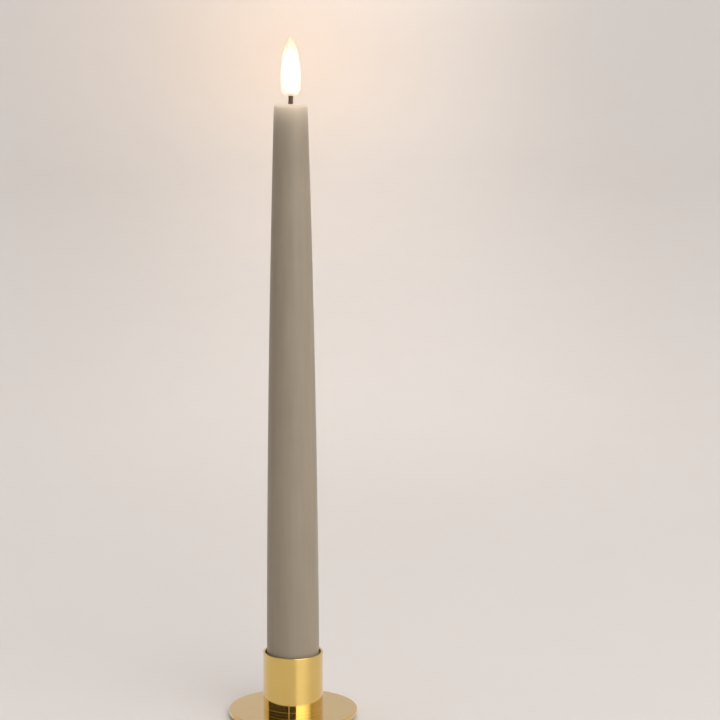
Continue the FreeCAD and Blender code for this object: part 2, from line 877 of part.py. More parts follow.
def make_strips():
    """The two strips up the tray's sides. Each ends in a leaf that touches the shell's board."""
    inner = cell("strip_offset")
    sheet_thickness = cell("strip_thickness")
    outer = inner + sheet_thickness
    leaf_base = TRAY_TOP + sheet_thickness
    leaf_tip = TRAY_TOP + cell("leaf_rise")
    run = cell("leaf_run")
    ring_leaf = cell("ground_leaf_base")
    bent_strip(
        "ground_strip",
        [
            (-outer, BOARD_TOP),
            (-outer, leaf_base),
            (-ring_leaf, leaf_base),
            (-(ring_leaf - run), leaf_tip),
            (-(ring_leaf - run - sheet_thickness), leaf_tip - sheet_thickness),
            (-(ring_leaf - sheet_thickness), TRAY_TOP),
            (-inner, TRAY_TOP),
            (-inner, TRAY_ROOF),
            (half("spring_diameter"), TRAY_ROOF),
            (half("spring_diameter"), TRAY_ROOF - sheet_thickness),
            (-inner, TRAY_ROOF - sheet_thickness),
            (-inner, BOARD_TOP),
        ],
    )
    bent_strip(
        "led_strip",
        [
            (inner, BOARD_TOP),
            (inner, TRAY_TOP),
            (run - sheet_thickness, TRAY_TOP),
            (-sheet_thickness, leaf_tip - sheet_thickness),
            (0, leaf_tip),
            (run, leaf_base),
            (outer, leaf_base),
            (outer, BOARD_TOP),
        ],
    )


# Shell
def make_wax_shell():
    """The wax coat: a gently curved taper outside, the tube's cone inside, a low crown at the wick."""
    base, top = half("wax_base_diameter"), half("wax_top_diameter")
    rim = cell("wax_edge_radius")
    rim_bulge = rim * (1 - HALF_ROOT_TWO)
    roof = WAX_TOP - cell("wax_roof")
    hole = half("wick_diameter") + cell("wick_play")
    crown = WAX_TOP + cell("wax_crown_rise")
    turned(
        "wax_shell",
        [
            (base, CAP_TOP),
            (top, WAX_TOP - rim),
            (top - rim, WAX_TOP),
            (hole, crown),
            (hole, roof),
            (TUBE_TOP_RADIUS, roof),
            (TUBE_TOP_RADIUS, TUBE_TOP),
            (TUBE_BASE_RADIUS, CAP_TOP),
        ],
        {
            0: ((base + top) / 2 + cell("wax_bulge"), (CAP_TOP + WAX_TOP) / 2),
            1: (top - rim_bulge, WAX_TOP - rim_bulge),
            2: ((top - rim + hole) / 2, WAX_TOP + cell("wax_crown_rise") * CROWN_SHARE),
        },
    )


def make_inner_tube():
    """The moulded tube that carries the wax, with a shoulder for the contact board."""
    shoulder = half("shoulder_bore")
    turned(
        "inner_tube",
        [
            (bore_radius(CAP_TOP), CAP_TOP),
            (TUBE_BASE_RADIUS, CAP_TOP),
            (TUBE_TOP_RADIUS, TUBE_TOP),
            (bore_radius(TUBE_TOP), TUBE_TOP),
            (bore_radius(SHOULDER_TOP), SHOULDER_TOP),
            (shoulder, SHOULDER_TOP),
            (shoulder, SHOULDER_BOTTOM),
            (bore_radius(SHOULDER_BOTTOM), SHOULDER_BOTTOM),
        ],
    )


def make_contact_board():
    """A round board under the shoulder that the tray's leaves press on, drilled for the two wires."""
    thickness = cell("board_thickness")
    level = SHOULDER_BOTTOM - thickness
    disc = rod("contact_board_disc", 0, 0, level, half("contact_board_diameter"), thickness)
    offset = cell("wire_foot_offset")
    drills = [
        rod(f"contact_board_drill_{number}", x, 0, level, half("lamp_lead_diameter"), thickness)
        for number, x in enumerate((offset, -offset))
    ]
    board = difference("contact_board", disc, joined("contact_board_drills", *drills))
    subpart(board, "contact_board")


def make_top_plug():
    """The plug that closes the tube's top and holds the wick upright."""
    hole = half("wick_diameter") + cell("wick_play") / 2
    spigot = half("top_plug_spigot")
    flange = half("plug_flange")
    turned(
        "top_plug",
        [
            (hole, TUBE_TOP - cell("top_plug_depth")),
            (spigot, TUBE_TOP - cell("top_plug_depth")),
            (spigot, TUBE_TOP),
            (flange, TUBE_TOP),
            (flange, TUBE_TOP + cell("top_plug_flange_thickness")),
            (hole, TUBE_TOP + cell("top_plug_flange_thickness")),
        ],
    )


def make_wick_tube():
    outside, inside = half("wick_diameter"), half("wick_bore")
    corners = box_corners((inside, WICK_FOOT), (outside, LAMP_FOOT))
    turned("wick_tube", corners)


def make_led_lamp():
    """The warm lamp inside the flame, with its two leads down the wick."""
    flange, side = half("lamp_flange_diameter"), half("lamp_diameter")
    crown = half("lamp_crown_diameter")
    top = LAMP_FOOT + cell("lamp_height")
    round_off = side - crown
    dome = top - round_off
    bulge = round_off * HALF_ROOT_TWO
    body = turned(
        "led_lamp",
        [
            (0, LAMP_FOOT),
            (flange, LAMP_FOOT),
            (flange, LAMP_FOOT + cell("lamp_flange_height")),
            (side, LAMP_FOOT + cell("lamp_flange_height")),
            (side, dome),
            (crown, top),
            (0, top),
        ],
        {4: (crown + bulge, dome + bulge)},
    )
    leads = new_sketch(body, "leads", "XY_Plane", WICK_FOOT)
    for side_sign in (1, -1):
        draw_circle(leads, cell("lamp_lead_offset") * side_sign, 0, half("lamp_lead_diameter"))
    extruded(body, "lead_pad", leads, LAMP_FOOT + cell("lamp_flange_height") / 2 - WICK_FOOT)


def flame_point(name, inset=0):
    """A named (radius, height) point of the flame's outline, moved inwards by inset."""
    return half(f"flame_{name}_diameter") - inset, FLAME_FOOT + cell(f"flame_{name}_rise")


def make_flame_lens():
    """The hollow translucent flame: a rounded heel, a long belly and a curve up to the tip."""
    wall, tip_wall = cell("flame_wall"), cell("flame_tip_wall")
    hole = half("wick_diameter") + cell("wick_play")
    foot = half("flame_foot_diameter")
    tip, tip_radius = FLAME_FOOT + cell("flame_height"), half("flame_tip_diameter")
    shoulder = tip - cell("flame_tip_rise")
    turned(
        "flame_lens",
        [
            (hole, FLAME_FOOT),
            (foot, FLAME_FOOT),
            flame_point("cheek"),
            flame_point("waist"),
            (tip_radius, shoulder),
            (0, tip),
            (0, tip - tip_wall),
            (tip_radius, shoulder - tip_wall),
            flame_point("waist", wall),
            flame_point("cheek", wall),
            (foot - wall / 2, FLAME_FOOT + wall),
            (hole, FLAME_FOOT + wall),
        ],
        {
            1: flame_point("heel"),
            2: flame_point("belly"),
            3: flame_point("brow"),
            8: flame_point("belly", wall),
        },
    )


# Each wire's side of the axis, and where it bends as (x, y) at even steps of height
WIRE_ROUTES = (
    ("red_wire", 1, ((2.9, 0.9), (1.8, 1.5), (2.0, 0.5), (1.1, -0.3))),
    ("black_wire", -1, ((-2.3, -1.1), (-3.1, -0.6), (-1.7, 0.8), (-1.2, 0.2))),
)


def make_lamp_wires():
    """The two insulated wires from the contact board up the tube to the lamp's leads."""
    foot, top = cell("wire_foot_offset").value, cell("wire_top_offset").value
    low, high = SHOULDER_BOTTOM.value, WICK_FOOT.value
    radius = half("wire_diameter").value
    for label, side, bends in WIRE_ROUTES:
        step = (high - low) / (len(bends) + 1)
        points = [V(foot * side, 0, low)]
        points += [V(x, y, low + step * number) for number, (x, y) in enumerate(bends, start=1)]
        points.append(V(top * side, 0, high))
        tube, radii = swept_wire(points, radius)
        print(f"{label}: bend radii {[round(r) for r in radii]} mm")
        wire = doc.addObject("Part::Feature", f"{label}_tube")
        wire.Shape = tube
        wire.Placement = FreeCAD.Placement()
        subpart(wire, label)


def make_all():
    make_felt_pad()
    make_base_plate()
    make_cup_floor()
    make_cup_tube()
    make_cup_screw()
    make_end_cap()
    make_battery_tray()
    make_seal_ring()
    make_cap_screws()
    make_timer_board()
    make_timer_chip()
    make_board_resistors()
    make_switch()
    make_positive_contact()
    make_battery("battery_lower", CONTACT_TOP)
    make_battery("battery_upper", CONTACT_TOP + cell("cell_length"))
    make_battery_spring()
    make_strips()
    make_wax_shell()
    make_inner_tube()
    make_contact_board()
    make_top_plug()
    make_wick_tube()
    make_led_lamp()
    make_flame_lens()
    make_lamp_wires()


def check_and_write():
    """Stops on any failed object or bad shape, then writes one STEP file for each sub-part."""
    doc.recompute()
    failed = [o.Name for o in doc.Objects if {"Invalid", "Error"} & set(o.State)]
    if failed:
        raise RuntimeError(f"failed objects: {failed}")
    for part in SUBPARTS:
        shape = part.Shape
        if shape.isNull() or not shape.isValid() or not shape.Solids:
            raise RuntimeError(f"{part.Label}: bad shape")
    os.makedirs("parts", exist_ok=True)
    for part in SUBPARTS:
        part.Shape.exportStep(f"parts/{part.Label}.step")
        print(f"{part.Label}: {part.Shape.Volume:.1f} mm3, {len(part.Shape.Solids)} solid(s)")


make_all()
check_and_write()
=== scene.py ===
"""Looks of the flameless taper candle and its brass cup holder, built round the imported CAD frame."""

import math

import bmesh
import bpy
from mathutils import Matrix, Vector, noise


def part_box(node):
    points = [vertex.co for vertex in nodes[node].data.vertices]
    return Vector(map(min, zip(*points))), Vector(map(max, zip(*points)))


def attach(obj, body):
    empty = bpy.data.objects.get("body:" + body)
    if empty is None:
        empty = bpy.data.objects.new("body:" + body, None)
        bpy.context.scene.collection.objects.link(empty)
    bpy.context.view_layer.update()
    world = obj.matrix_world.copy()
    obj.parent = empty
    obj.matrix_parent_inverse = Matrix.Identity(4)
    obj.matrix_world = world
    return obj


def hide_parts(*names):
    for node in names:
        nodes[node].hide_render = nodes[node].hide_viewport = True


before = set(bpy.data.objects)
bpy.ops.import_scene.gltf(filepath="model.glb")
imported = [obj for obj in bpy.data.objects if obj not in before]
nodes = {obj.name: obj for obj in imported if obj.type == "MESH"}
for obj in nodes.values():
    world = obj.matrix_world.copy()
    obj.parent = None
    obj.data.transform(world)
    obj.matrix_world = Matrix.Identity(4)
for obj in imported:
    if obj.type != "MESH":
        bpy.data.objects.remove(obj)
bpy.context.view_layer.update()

MM = 0.001

# Camera: right of the candle's axis, in front and above, tilted down
CAMERA_PLACE = (28.3 * MM, -1278.1 * MM, 403.2 * MM)
CAMERA_TILT = math.radians(11.07)
CAMERA_LENS = 156.9
CAMERA_SENSOR = 36.0

# Levels, from the CAD nodes
PLATE_LOW, PLATE_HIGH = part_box("base_plate")
FLOOR_LOW, FLOOR_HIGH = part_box("cup_floor")
CUP_LOW, CUP_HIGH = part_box("cup_tube")
WAX_LOW, WAX_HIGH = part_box("wax_shell")
WICK_LOW, WICK_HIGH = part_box("wick_tube")
FLAME_LOW, FLAME_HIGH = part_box("flame_lens")
FELT_LOW, FELT_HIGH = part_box("felt_pad")
TUBE_LOW, TUBE_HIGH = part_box("inner_tube")

# Sizes that several pieces share, as in the CAD
SCREW_HOLE = 1.52 * MM
WICK_PLAY = 0.05 * MM

# Facets round the polished brass, enough that none shows in its reflections
BRASS_FACETS = 360

# How softened() treats a side: the share of it that one corner's round may take, and the place of the
# point that keeps its shading true, in rounds from the corner and at most that share of the side
ROUND_SHARE = 0.45
HOLD_REACH = 1.4
HOLD_SHARE = 0.49


# Geometry helpers
def arc_through(start, middle, end, steps):
    """Points from start towards end on the arc through middle; end itself is left to the next side."""
    (ax, ay), (bx, by), (cx, cy) = start, middle, end
    double_area = 2 * (ax * (by - cy) + bx * (cy - ay) + cx * (ay - by))
    a, b, c = (x * x + y * y for x, y in (start, middle, end))
    x = (a * (by - cy) + b * (cy - ay) + c * (ay - by)) / double_area
    y = (a * (cx - bx) + b * (ax - cx) + c * (bx - ax)) / double_area
    radius = math.dist((x, y), start)
    angles = [math.atan2(p[1] - y, p[0] - x) for p in (start, middle, end)]
    for number in (1, 2):
        while angles[number] - angles[number - 1] > math.pi:
            angles[number] -= 2 * math.pi
        while angles[number] - angles[number - 1] < -math.pi:
            angles[number] += 2 * math.pi
    span = angles[2] - angles[0]
    return [
        (x + radius * math.cos(angles[0] + span * step / steps),
         y + radius * math.sin(angles[0] + span * step / steps))
        for step in range(steps)
    ]


def straight(start, end, steps):
    """Points from start towards end, without end."""
    return [
        tuple(s + (e - s) * step / steps for s, e in zip(start, end)) for step in range(steps)
    ]


def softened(outline, radius, steps=4):
    """A closed outline with each corner turned into a small round of about that radius.

    A point on each side just outside the round keeps the shading of that side true.
    """
    result = []
    for before, corner, after in zip(outline[-1:] + outline, outline, outline[1:] + outline[:1]):
        if corner[0] == 0:
            result.append(corner)
            continue
        here = Vector(corner)
        back, ahead = Vector(before) - here, Vector(after) - here
        reach = min(radius, back.length * ROUND_SHARE, ahead.length * ROUND_SHARE)
        entry = here + back.normalized() * reach
        leave = here + ahead.normalized() * reach
        hold = min(reach * HOLD_REACH, back.length * HOLD_SHARE)
        result.append(tuple(here + back.normalized() * hold))
        for step in range(steps + 1):
            share = step / steps
            point = entry * (1 - share) ** 2 + here * 2 * share * (1 - share) + leave * share**2
            result.append(tuple(point))
        hold = min(reach * HOLD_REACH, ahead.length * HOLD_SHARE)
        result.append(tuple(here + ahead.normalized() * hold))
    return result


def new_object(name, data):
    """A new object in the scene that shows data."""
    obj = bpy.data.objects.new(name, data)
    bpy.context.scene.collection.objects.link(obj)
    return obj


def mesh_object(name, mesh, body, *looks, sharp=35):
    """An object that shows a mesh, with its looks, and rides on a CAD body if one is named."""
    mesh.shade_smooth()
    mesh.set_sharp_from_angle(angle=math.radians(sharp))
    for look in looks:
        mesh.materials.append(look)
    obj = new_object(name, mesh)
    if body:
        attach(obj, body)
    return obj


def lathe(name, outline, body, *looks, segments=192, shape=None, slot_of=None, sharp=35, closed=True):
    """A (radius, height) outline turned about the candle's axis.

    shape moves each point at its angle, slot_of gives the material of each side, and closed joins the
    outline's last point to its first.
    """
    form = bmesh.new()
    rings = []
    for radius, height in outline:
        if radius == 0:
            rings.append([form.verts.new((0, 0, height))])
            continue
        ring = []
        for number in range(segments):
            angle = 2 * math.pi * number / segments
            r, z = shape(radius, height, angle) if shape else (radius, height)
            ring.append(form.verts.new((r * math.cos(angle), r * math.sin(angle), z)))
        rings.append(ring)
    pairs = list(zip(rings, rings[1:] + rings[:1]))
    for index, (lower, upper) in enumerate(pairs if closed else pairs[:-1]):
        if len(lower) == len(upper) == 1:
            continue
        for number in range(segments):
            after = (number + 1) % segments
            if len(lower) == 1:
                corners = (lower[0], upper[after], upper[number])
            elif len(upper) == 1:
                corners = (lower[number], lower[after], upper[0])
            else:
                corners = (lower[number], lower[after], upper[after], upper[number])
            face = form.faces.new(corners)
            face.material_index = slot_of(index) if slot_of else 0
    bmesh.ops.recalc_face_normals(form, faces=form.faces)
    mesh = bpy.data.meshes.new(name)
    form.to_mesh(mesh)
    form.free()
    return mesh_object(name, mesh, body, *looks, sharp=sharp)


# Material helpers
class Look:
    """A node material round one Principled shader, with textures laid in the object's own space."""

    def __init__(self, name, colour, roughness, **settings):
        self.material = bpy.data.materials.new(name)
        self.material.use_nodes = True
        tree = self.material.node_tree
        self.nodes, self.links = tree.nodes, tree.links
        self.shader = self.nodes["Principled BSDF"]
        self.set("Base Color", (*colour, 1))
        self.set("Roughness", roughness)
        for socket, value in settings.items():
            self.set(socket.replace("_", " ").title().replace("Ior", "IOR"), value)
        self.coordinates = self.nodes.new("ShaderNodeTexCoord").outputs["Object"]

    def set(self, socket, value):
        """Sets one of the shader's own sockets."""
        self.shader.inputs[socket].default_value = value

    def join(self, output, socket):
        """Links a node's output to one of the shader's sockets."""
        self.links.new(output, self.shader.inputs[socket])

    def node(self, kind, **inputs):
        """A new node; each input is a number, a colour or another node's output."""
        made = self.nodes.new(kind)
        for name, value in inputs.items():
            self.feed(made.inputs[name.replace("_", " ")], value)
        return made

    def feed(self, socket, value):
        """Links value to a node's socket if it is an output, or sets the socket to it."""
        if isinstance(value, bpy.types.NodeSocket):
            self.links.new(value, socket)
        else:
            socket.default_value = value

    def stretched(self, x=1, y=1, z=1):
        """The object's coordinates scaled along each axis, for streaks."""
        scaled = self.node("ShaderNodeMapping", Vector=self.coordinates)
        scaled.inputs["Scale"].default_value = (x, y, z)
        return scaled.outputs["Vector"]

    def noise(self, size, detail, where=None, roughness=0.5):
        """Smooth noise whose features are about size metres across, from 0 to 1."""
        texture = self.node("ShaderNodeTexNoise", Scale=1 / size, Detail=detail, Roughness=roughness)
        self.feed(texture.inputs["Vector"], where or self.coordinates)
        return texture.outputs["Fac"]

    def math(self, operation, first, second=0.0):
        """One sum of two numbers or outputs; some operations use the first alone."""
        made = self.nodes.new("ShaderNodeMath")
        made.operation = operation
        self.feed(made.inputs[0], first)
        self.feed(made.inputs[1], second)
        return made.outputs[0]

    def part(self, axis):
        """One coordinate of the object's space, in metres."""
        return self.node("ShaderNodeSeparateXYZ", Vector=self.coordinates).outputs[axis]

    def from_axis(self):
        """The distance from the candle's axis, in metres."""
        length = self.nodes.new("ShaderNodeVectorMath")
        length.operation = "LENGTH"
        self.feed(length.inputs[0], self.stretched(z=0))
        return length.outputs["Value"]

    def spread(self, value, low, high, start=0.0, end=1.0, kind="LINEAR"):
        """A straight map of value from low-high to start-end, held at its ends."""
        made = self.nodes.new("ShaderNodeMapRange")
        made.interpolation_type = kind
        for name, each in zip(("Value", "From Min", "From Max", "To Min", "To Max"),
                              (value, low, high, start, end)):
            self.feed(made.inputs[name], each)
        return made.outputs["Result"]

    def rise(self, value, low, high, start=0.0, end=1.0):
        """start where value is low, end where it is high, and a smooth step between."""
        return self.spread(value, low, high, start, end, kind="SMOOTHSTEP")

    def mix(self, first, second, share):
        """The weighted mean of two values, with a share for the first."""
        weighted = self.math("MULTIPLY", first, share)
        return self.math("ADD", weighted, self.math("MULTIPLY", second, 1 - share))

    def blend(self, factor, first, second):
        """A colour between two colours."""
        made = self.nodes.new("ShaderNodeMix")
        made.data_type = "RGBA"
        for socket, value in zip((0, 6, 7), (factor, first, second)):
            value = (*value, 1) if isinstance(value, tuple) and len(value) == 3 else value
            self.feed(made.inputs[socket], value)
        return made.outputs[2]

    def bump(self, height, depth, strength):
        """Raises the surface by depth metres where height is 1."""
        made = self.node("ShaderNodeBump", Strength=strength, Distance=depth, Height=height)
        self.join(made.outputs["Normal"], "Normal")


def scaled(colour, factor):
    """A colour made darker or lighter."""
    return tuple(min(1, part * factor) for part in colour)


# Materials
def brass_look(name, roughness):
    """Clear-lacquered brass with faint turning lines and a trace of handling."""
    look = Look(
        name, (0.80, 0.56, 0.14), roughness,
        metallic=1.0, coat_weight=1.0, coat_roughness=0.03, coat_ior=1.65,
    )
    deeper, paler = (0.795, 0.550, 0.130), (0.820, 0.575, 0.150)
    lines = look.noise(0.4 * MM, detail=2, where=look.stretched(x=0.02, y=0.02, z=1))
    smears = look.noise(9 * MM, detail=3)
    shade = look.spread(smears, 0.3, 0.7)
    look.join(look.blend(shade, deeper, paler), "Base Color")
    look.join(look.spread(smears, 0.35, 0.75, roughness, roughness + 0.05), "Roughness")
    look.bump(lines, 0.001 * MM, 0.05)
    return look.material


def wax_look(rim):
    """Dyed wax: streaky along its length, a little translucent, with a painted glow that stands in for
    the flame's light through its top end.
    """
    look = Look(
        "wax", (0.30, 0.25, 0.18), 0.42,
        subsurface_weight=0.25, subsurface_scale=2 * MM, coat_weight=0.12, coat_roughness=0.35,
    )
    look.set("Subsurface Radius", (1.0, 0.7, 0.45))
    darker, lighter = (0.302, 0.256, 0.191), (0.332, 0.284, 0.212)
    streaks = look.noise(2.2 * MM, detail=4, where=look.stretched(z=0.05))
    clouds = look.noise(18 * MM, detail=3)
    mixed = look.mix(streaks, clouds, 0.6)
    tone = look.spread(mixed, 0.35, 0.65)
    look.join(look.blend(tone, darker, lighter), "Base Color")
    # Painted glow, emitted by the wax in place of the flame's light through it: below the rim it dies
    # away exponentially, and on the crown it is brighter near the wick
    fade, painted_rim_glow, painted_wick_glow = 4.2 * MM, 0.41, 0.05
    wick_edge, crown_edge = 1.5 * MM, 5.5 * MM
    depth = look.math("DIVIDE", look.math("SUBTRACT", look.part("Z"), rim), fade)
    crown = look.spread(look.from_axis(), wick_edge, crown_edge, painted_wick_glow, 0.0)
    above = look.rise(depth, 0.0, 0.1)
    glow = look.math("MULTIPLY", look.math("EXPONENT", depth), painted_rim_glow)
    look.set("Emission Color", (1.0, 0.81, 0.62, 1))
    look.join(look.math("ADD", glow, look.math("MULTIPLY", above, crown)), "Emission Strength")
    look.join(look.spread(clouds, 0.35, 0.7, 0.36, 0.50), "Roughness")
    pits = look.noise(0.6 * MM, detail=3)
    look.bump(look.math("ADD", pits, look.math("MULTIPLY", streaks, 1.5)), 0.02 * MM, 0.5)
    return look.material


def flame_looks(foot, tip):
    """The translucent outer wall and the glowing inner wall, dimmer at the foot and amber at the tip."""
    outer = Look("flame_outer", (0.60, 0.50, 0.36), 0.35, alpha=0.45)
    inner = Look("flame_inner", (0.50, 0.42, 0.30), 0.5)
    amber = (1.0, 0.80, 0.50)
    for look, white, at_foot, at_belly, at_tip in (
        (outer, (1.0, 0.93, 0.80), 0.60, 0.90, 0.60),
        (inner, (1.0, 0.98, 0.95), 0.75, 1.25, 0.70),
    ):
        height = look.math("DIVIDE", look.math("SUBTRACT", look.part("Z"), foot), tip - foot)
        upper = look.rise(height, 0.60, 0.97)
        look.join(look.blend(upper, white, amber), "Emission Color")
        lower = look.rise(height, 0.0, 0.25, at_foot, at_belly)
        dimmer = look.rise(height, 0.65, 1.0, 1.0, at_tip / at_belly)
        look.join(look.math("MULTIPLY", lower, dimmer), "Emission Strength")
        look.bump(look.noise(0.4 * MM, detail=2), 0.01 * MM, 0.4)
    return outer.material, inner.material


def wick_look():
    """Brown moulded wick with darker grooves."""
    look = Look("wick", (0.105, 0.062, 0.022), 0.6)
    fibres = look.noise(0.3 * MM, detail=3, where=look.stretched(z=0.25))
    tone = look.spread(fibres, 0.3, 0.7)
    look.join(look.blend(tone, (0.075, 0.042, 0.014), (0.17, 0.105, 0.045)), "Base Color")
    look.bump(fibres, 0.06 * MM, 0.7)
    return look.material


def felt_look():
    """Matted black felt, with loose fibres and clumps."""
    look = Look("felt", (0.035, 0.033, 0.030), 0.95, sheen_weight=0.6, sheen_roughness=0.5)
    fibres = look.noise(0.3 * MM, detail=6, roughness=0.7)
    clumps = look.noise(2 * MM, detail=3)
    mixed = look.mix(fibres, clumps, 0.7)
    tone = look.spread(mixed, 0.3, 0.7)
    look.join(look.blend(tone, (0.018, 0.017, 0.016), (0.06, 0.056, 0.05)), "Base Color")
    look.bump(mixed, 0.25 * MM, 0.8)
    return look.material


def moulded_look(name, colour, roughness=0.42):
    """Injection-moulded plastic: fine spark texture and faint flow variation."""
    look = Look(name, colour, roughness)
    flow = look.noise(6 * MM, detail=2)
    tone = look.spread(flow, 0.3, 0.7)
    look.join(look.blend(tone, scaled(colour, 0.93), scaled(colour, 1.05)), "Base Color")
    texture = look.noise(0.25 * MM, detail=2)
    look.join(look.spread(texture, 0.3, 0.7, roughness - 0.06, roughness + 0.06), "Roughness")
    look.bump(texture, 0.012 * MM, 0.5)
    return look.material


def metal_look(name, colour, roughness):
    """Plated or brushed metal with fine streaks up it."""
    look = Look(name, colour, roughness, metallic=1.0)
    streaks = look.noise(0.3 * MM, detail=3, where=look.stretched(z=0.06))
    tone = look.spread(streaks, 0.3, 0.7)
    look.join(look.blend(tone, scaled(colour, 0.88), scaled(colour, 1.06)), "Base Color")
    look.join(look.spread(streaks, 0.3, 0.7, roughness - 0.05, roughness + 0.08), "Roughness")
    look.bump(streaks, 0.006 * MM, 0.5)
    return look.material


def board_look():
    """Green solder mask over a faint weave, with paler tracks beneath it."""
    look = Look("solder_mask", (0.02, 0.13, 0.05), 0.28, coat_weight=0.4, coat_roughness=0.15)
    bricks = look.node(
        "ShaderNodeTexBrick", Vector=look.stretched(z=0), Scale=260.0, Mortar_Size=0.05
    )
    tracks = bricks.outputs["Fac"]
    look.join(look.blend(tracks, (0.018, 0.11, 0.045), (0.035, 0.21, 0.085)), "Base Color")
    weave = look.noise(0.4 * MM, detail=1)
    look.bump(look.math("ADD", tracks, look.math("MULTIPLY", weave, 0.4)), 0.03 * MM, 0.6)
    return look.material


def chip_look(half_width):
    """A black moulded chip within half_width of the board's middle, and tinned legs outside it."""
    black, tin = (0.02, 0.02, 0.022), (0.7, 0.7, 0.68)
    black_roughness, tin_roughness = 0.5, 0.3
    look = Look("chip", black, black_roughness)
    metal = look.math("GREATER_THAN", look.math("ABSOLUTE", look.part("Y")), half_width)
    grain = look.noise(0.15 * MM, detail=2)
    tone = look.spread(grain, 0.3, 0.7)
    dark = look.blend(tone, scaled(black, 0.8), scaled(black, 1.3))
    bright = look.blend(tone, scaled(tin, 0.85), tin)
    look.join(look.blend(metal, dark, bright), "Base Color")
    look.join(metal, "Metallic")
    look.join(look.spread(metal, 0, 1, black_roughness, tin_roughness), "Roughness")
    look.bump(grain, 0.01 * MM, 0.4)
    return look.material


def jacket_look(low, high):
    """A battery's plain shrink wrap: satin grey with one coloured band near the positive end."""
    look = Look("cell_jacket", (0.60, 0.62, 0.64), 0.3, coat_weight=0.5, coat_roughness=0.12)
    band_start, band_end = 0.10, 0.30
    height = look.part("Z")
    position = look.math("DIVIDE", look.math("SUBTRACT", height, low), high - low)
    band = look.math(
        "MULTIPLY",
        look.math("GREATER_THAN", position, band_start),
        look.math("LESS_THAN", position, band_end),
    )
    flow = look.noise(4 * MM, detail=2, where=look.stretched(z=0.2))
    tone = look.spread(flow, 0.3, 0.7)
    grey = look.blend(tone, (0.50, 0.52, 0.54), (0.60, 0.62, 0.64))
    look.join(look.blend(band, grey, (0.03, 0.22, 0.24)), "Base Color")
    look.bump(look.noise(1.2 * MM, detail=2), 0.02 * MM, 0.4)
    return look.material


def rubber_look():
    """Black rubber with a little dust."""
    look = Look("rubber", (0.012, 0.012, 0.012), 0.55)
    dust = look.noise(0.8 * MM, detail=4)
    dusty = look.spread(dust, 0.45, 0.8)
    look.join(look.blend(dusty, (0.010, 0.010, 0.010), (0.03, 0.03, 0.028)), "Base Color")
    look.join(look.spread(dust, 0.3, 0.7, 0.48, 0.62), "Roughness")
    look.bump(dust, 0.01 * MM, 0.5)
    return look.material


def epoxy_look():
    """The lamp's clear epoxy over yellow phosphor, lit from inside."""
    look = Look("lamp_epoxy", (0.95, 0.72, 0.28), 0.12, coat_weight=0.6, coat_roughness=0.05)
    cloud = look.noise(0.6 * MM, detail=2)
    look.join(look.blend(cloud, (0.95, 0.68, 0.22), (1.0, 0.85, 0.50)), "Base Color")
    look.join(look.blend(cloud, (1.0, 0.78, 0.42), (1.0, 0.88, 0.60)), "Emission Color")
    look.set("Emission Strength", 2.0)
    return look.material


def paper_look():
    """The satin pale paper of the sweep, with very faint clouds."""
    look = Look("paper", (0.76, 0.727, 0.707), 0.32)
    clouds = look.noise(50 * MM, detail=3)
    look.join(look.blend(clouds, (0.750, 0.717, 0.697), (0.770, 0.737, 0.717)), "Base Color")
    return look.material


# Holder
def make_plate(look):
    """The polished disc that the cup stands on."""
    edge, bottom, top = PLATE_HIGH.x, PLATE_LOW.z, PLATE_HIGH.z
    # The countersink for the cup's screw, and the edge's chamfer
    sink_radius, sink_depth = 2.82 * MM, 1.3 * MM
    chamfer = 0.3 * MM
    outline = [
        (sink_radius, bottom), (edge - chamfer, bottom), (edge, bottom + chamfer),
        (edge, top - chamfer), (edge - chamfer, top), (SCREW_HOLE, top),
        (SCREW_HOLE, bottom + sink_depth),
    ]
    rounds = softened(outline, 0.12 * MM)
    plate = lathe("brass_plate", rounds, "holder", look, segments=BRASS_FACETS)
    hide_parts("base_plate")


def make_cup(look, bore_look):
    """The cup's tube, with its satin bore, and its flanged floor, parted by a fine seam."""
    outside, bottom, top = CUP_HIGH.x, CUP_LOW.z, CUP_HIGH.z
    wall, rim, seam = 0.95 * MM, 0.2 * MM, 0.06 * MM
    bore_margin, spigot_play = 0.01 * MM, 0.02 * MM
    inside = outside - wall
    tube_outline = [
        (inside, bottom), (outside - seam, bottom), (outside, bottom + seam), (outside, top - rim),
        (outside - rim, top), (inside + rim, top), (inside, top - rim),
    ]
    rounds = softened(tube_outline, 0.1 * MM)
    bore = [index for index, (radius, _) in enumerate(rounds) if radius < inside + bore_margin]
    tube = lathe(
        "brass_cup", rounds, "holder", look, bore_look, segments=BRASS_FACETS,
        slot_of=lambda index: 1 if index in bore else 0,
    )
    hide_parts("cup_tube")
    spigot = inside - spigot_play
    floor_outline = [
        (SCREW_HOLE, FLOOR_LOW.z), (outside, FLOOR_LOW.z), (outside, bottom - seam),
        (outside - seam, bottom), (spigot, bottom), (spigot, FLOOR_HIGH.z),
        (SCREW_HOLE, FLOOR_HIGH.z),
    ]
    rounds = softened(floor_outline, 0.04 * MM)
    floor = lathe("brass_cup_floor", rounds, "holder", look, segments=BRASS_FACETS)
    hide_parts("cup_floor")


def make_felt(look):
    """A die-cut felt disc, fibrous and slightly uneven all over."""
    edge, bottom, top = FELT_HIGH.x, FELT_LOW.z, FELT_HIGH.z
    drop, clump = 0.12 * MM, 0.8 * MM

    def fuzz(radius, height, angle):
        place = Vector((radius * math.cos(angle), radius * math.sin(angle), height)) / clump
        amount = noise.noise(place)
        return radius - drop * abs(amount), min(max(height + drop * amount, bottom), top)

    outline = straight((0, bottom), (edge, bottom), 40)
    outline += straight((edge, bottom), (edge, top), 5)
    outline += straight((edge, top), (0, top), 12)
    outline.append((0, top))
    felt = lathe("felt_disc", outline, "holder", look, segments=256, shape=fuzz)
    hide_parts("felt_pad")


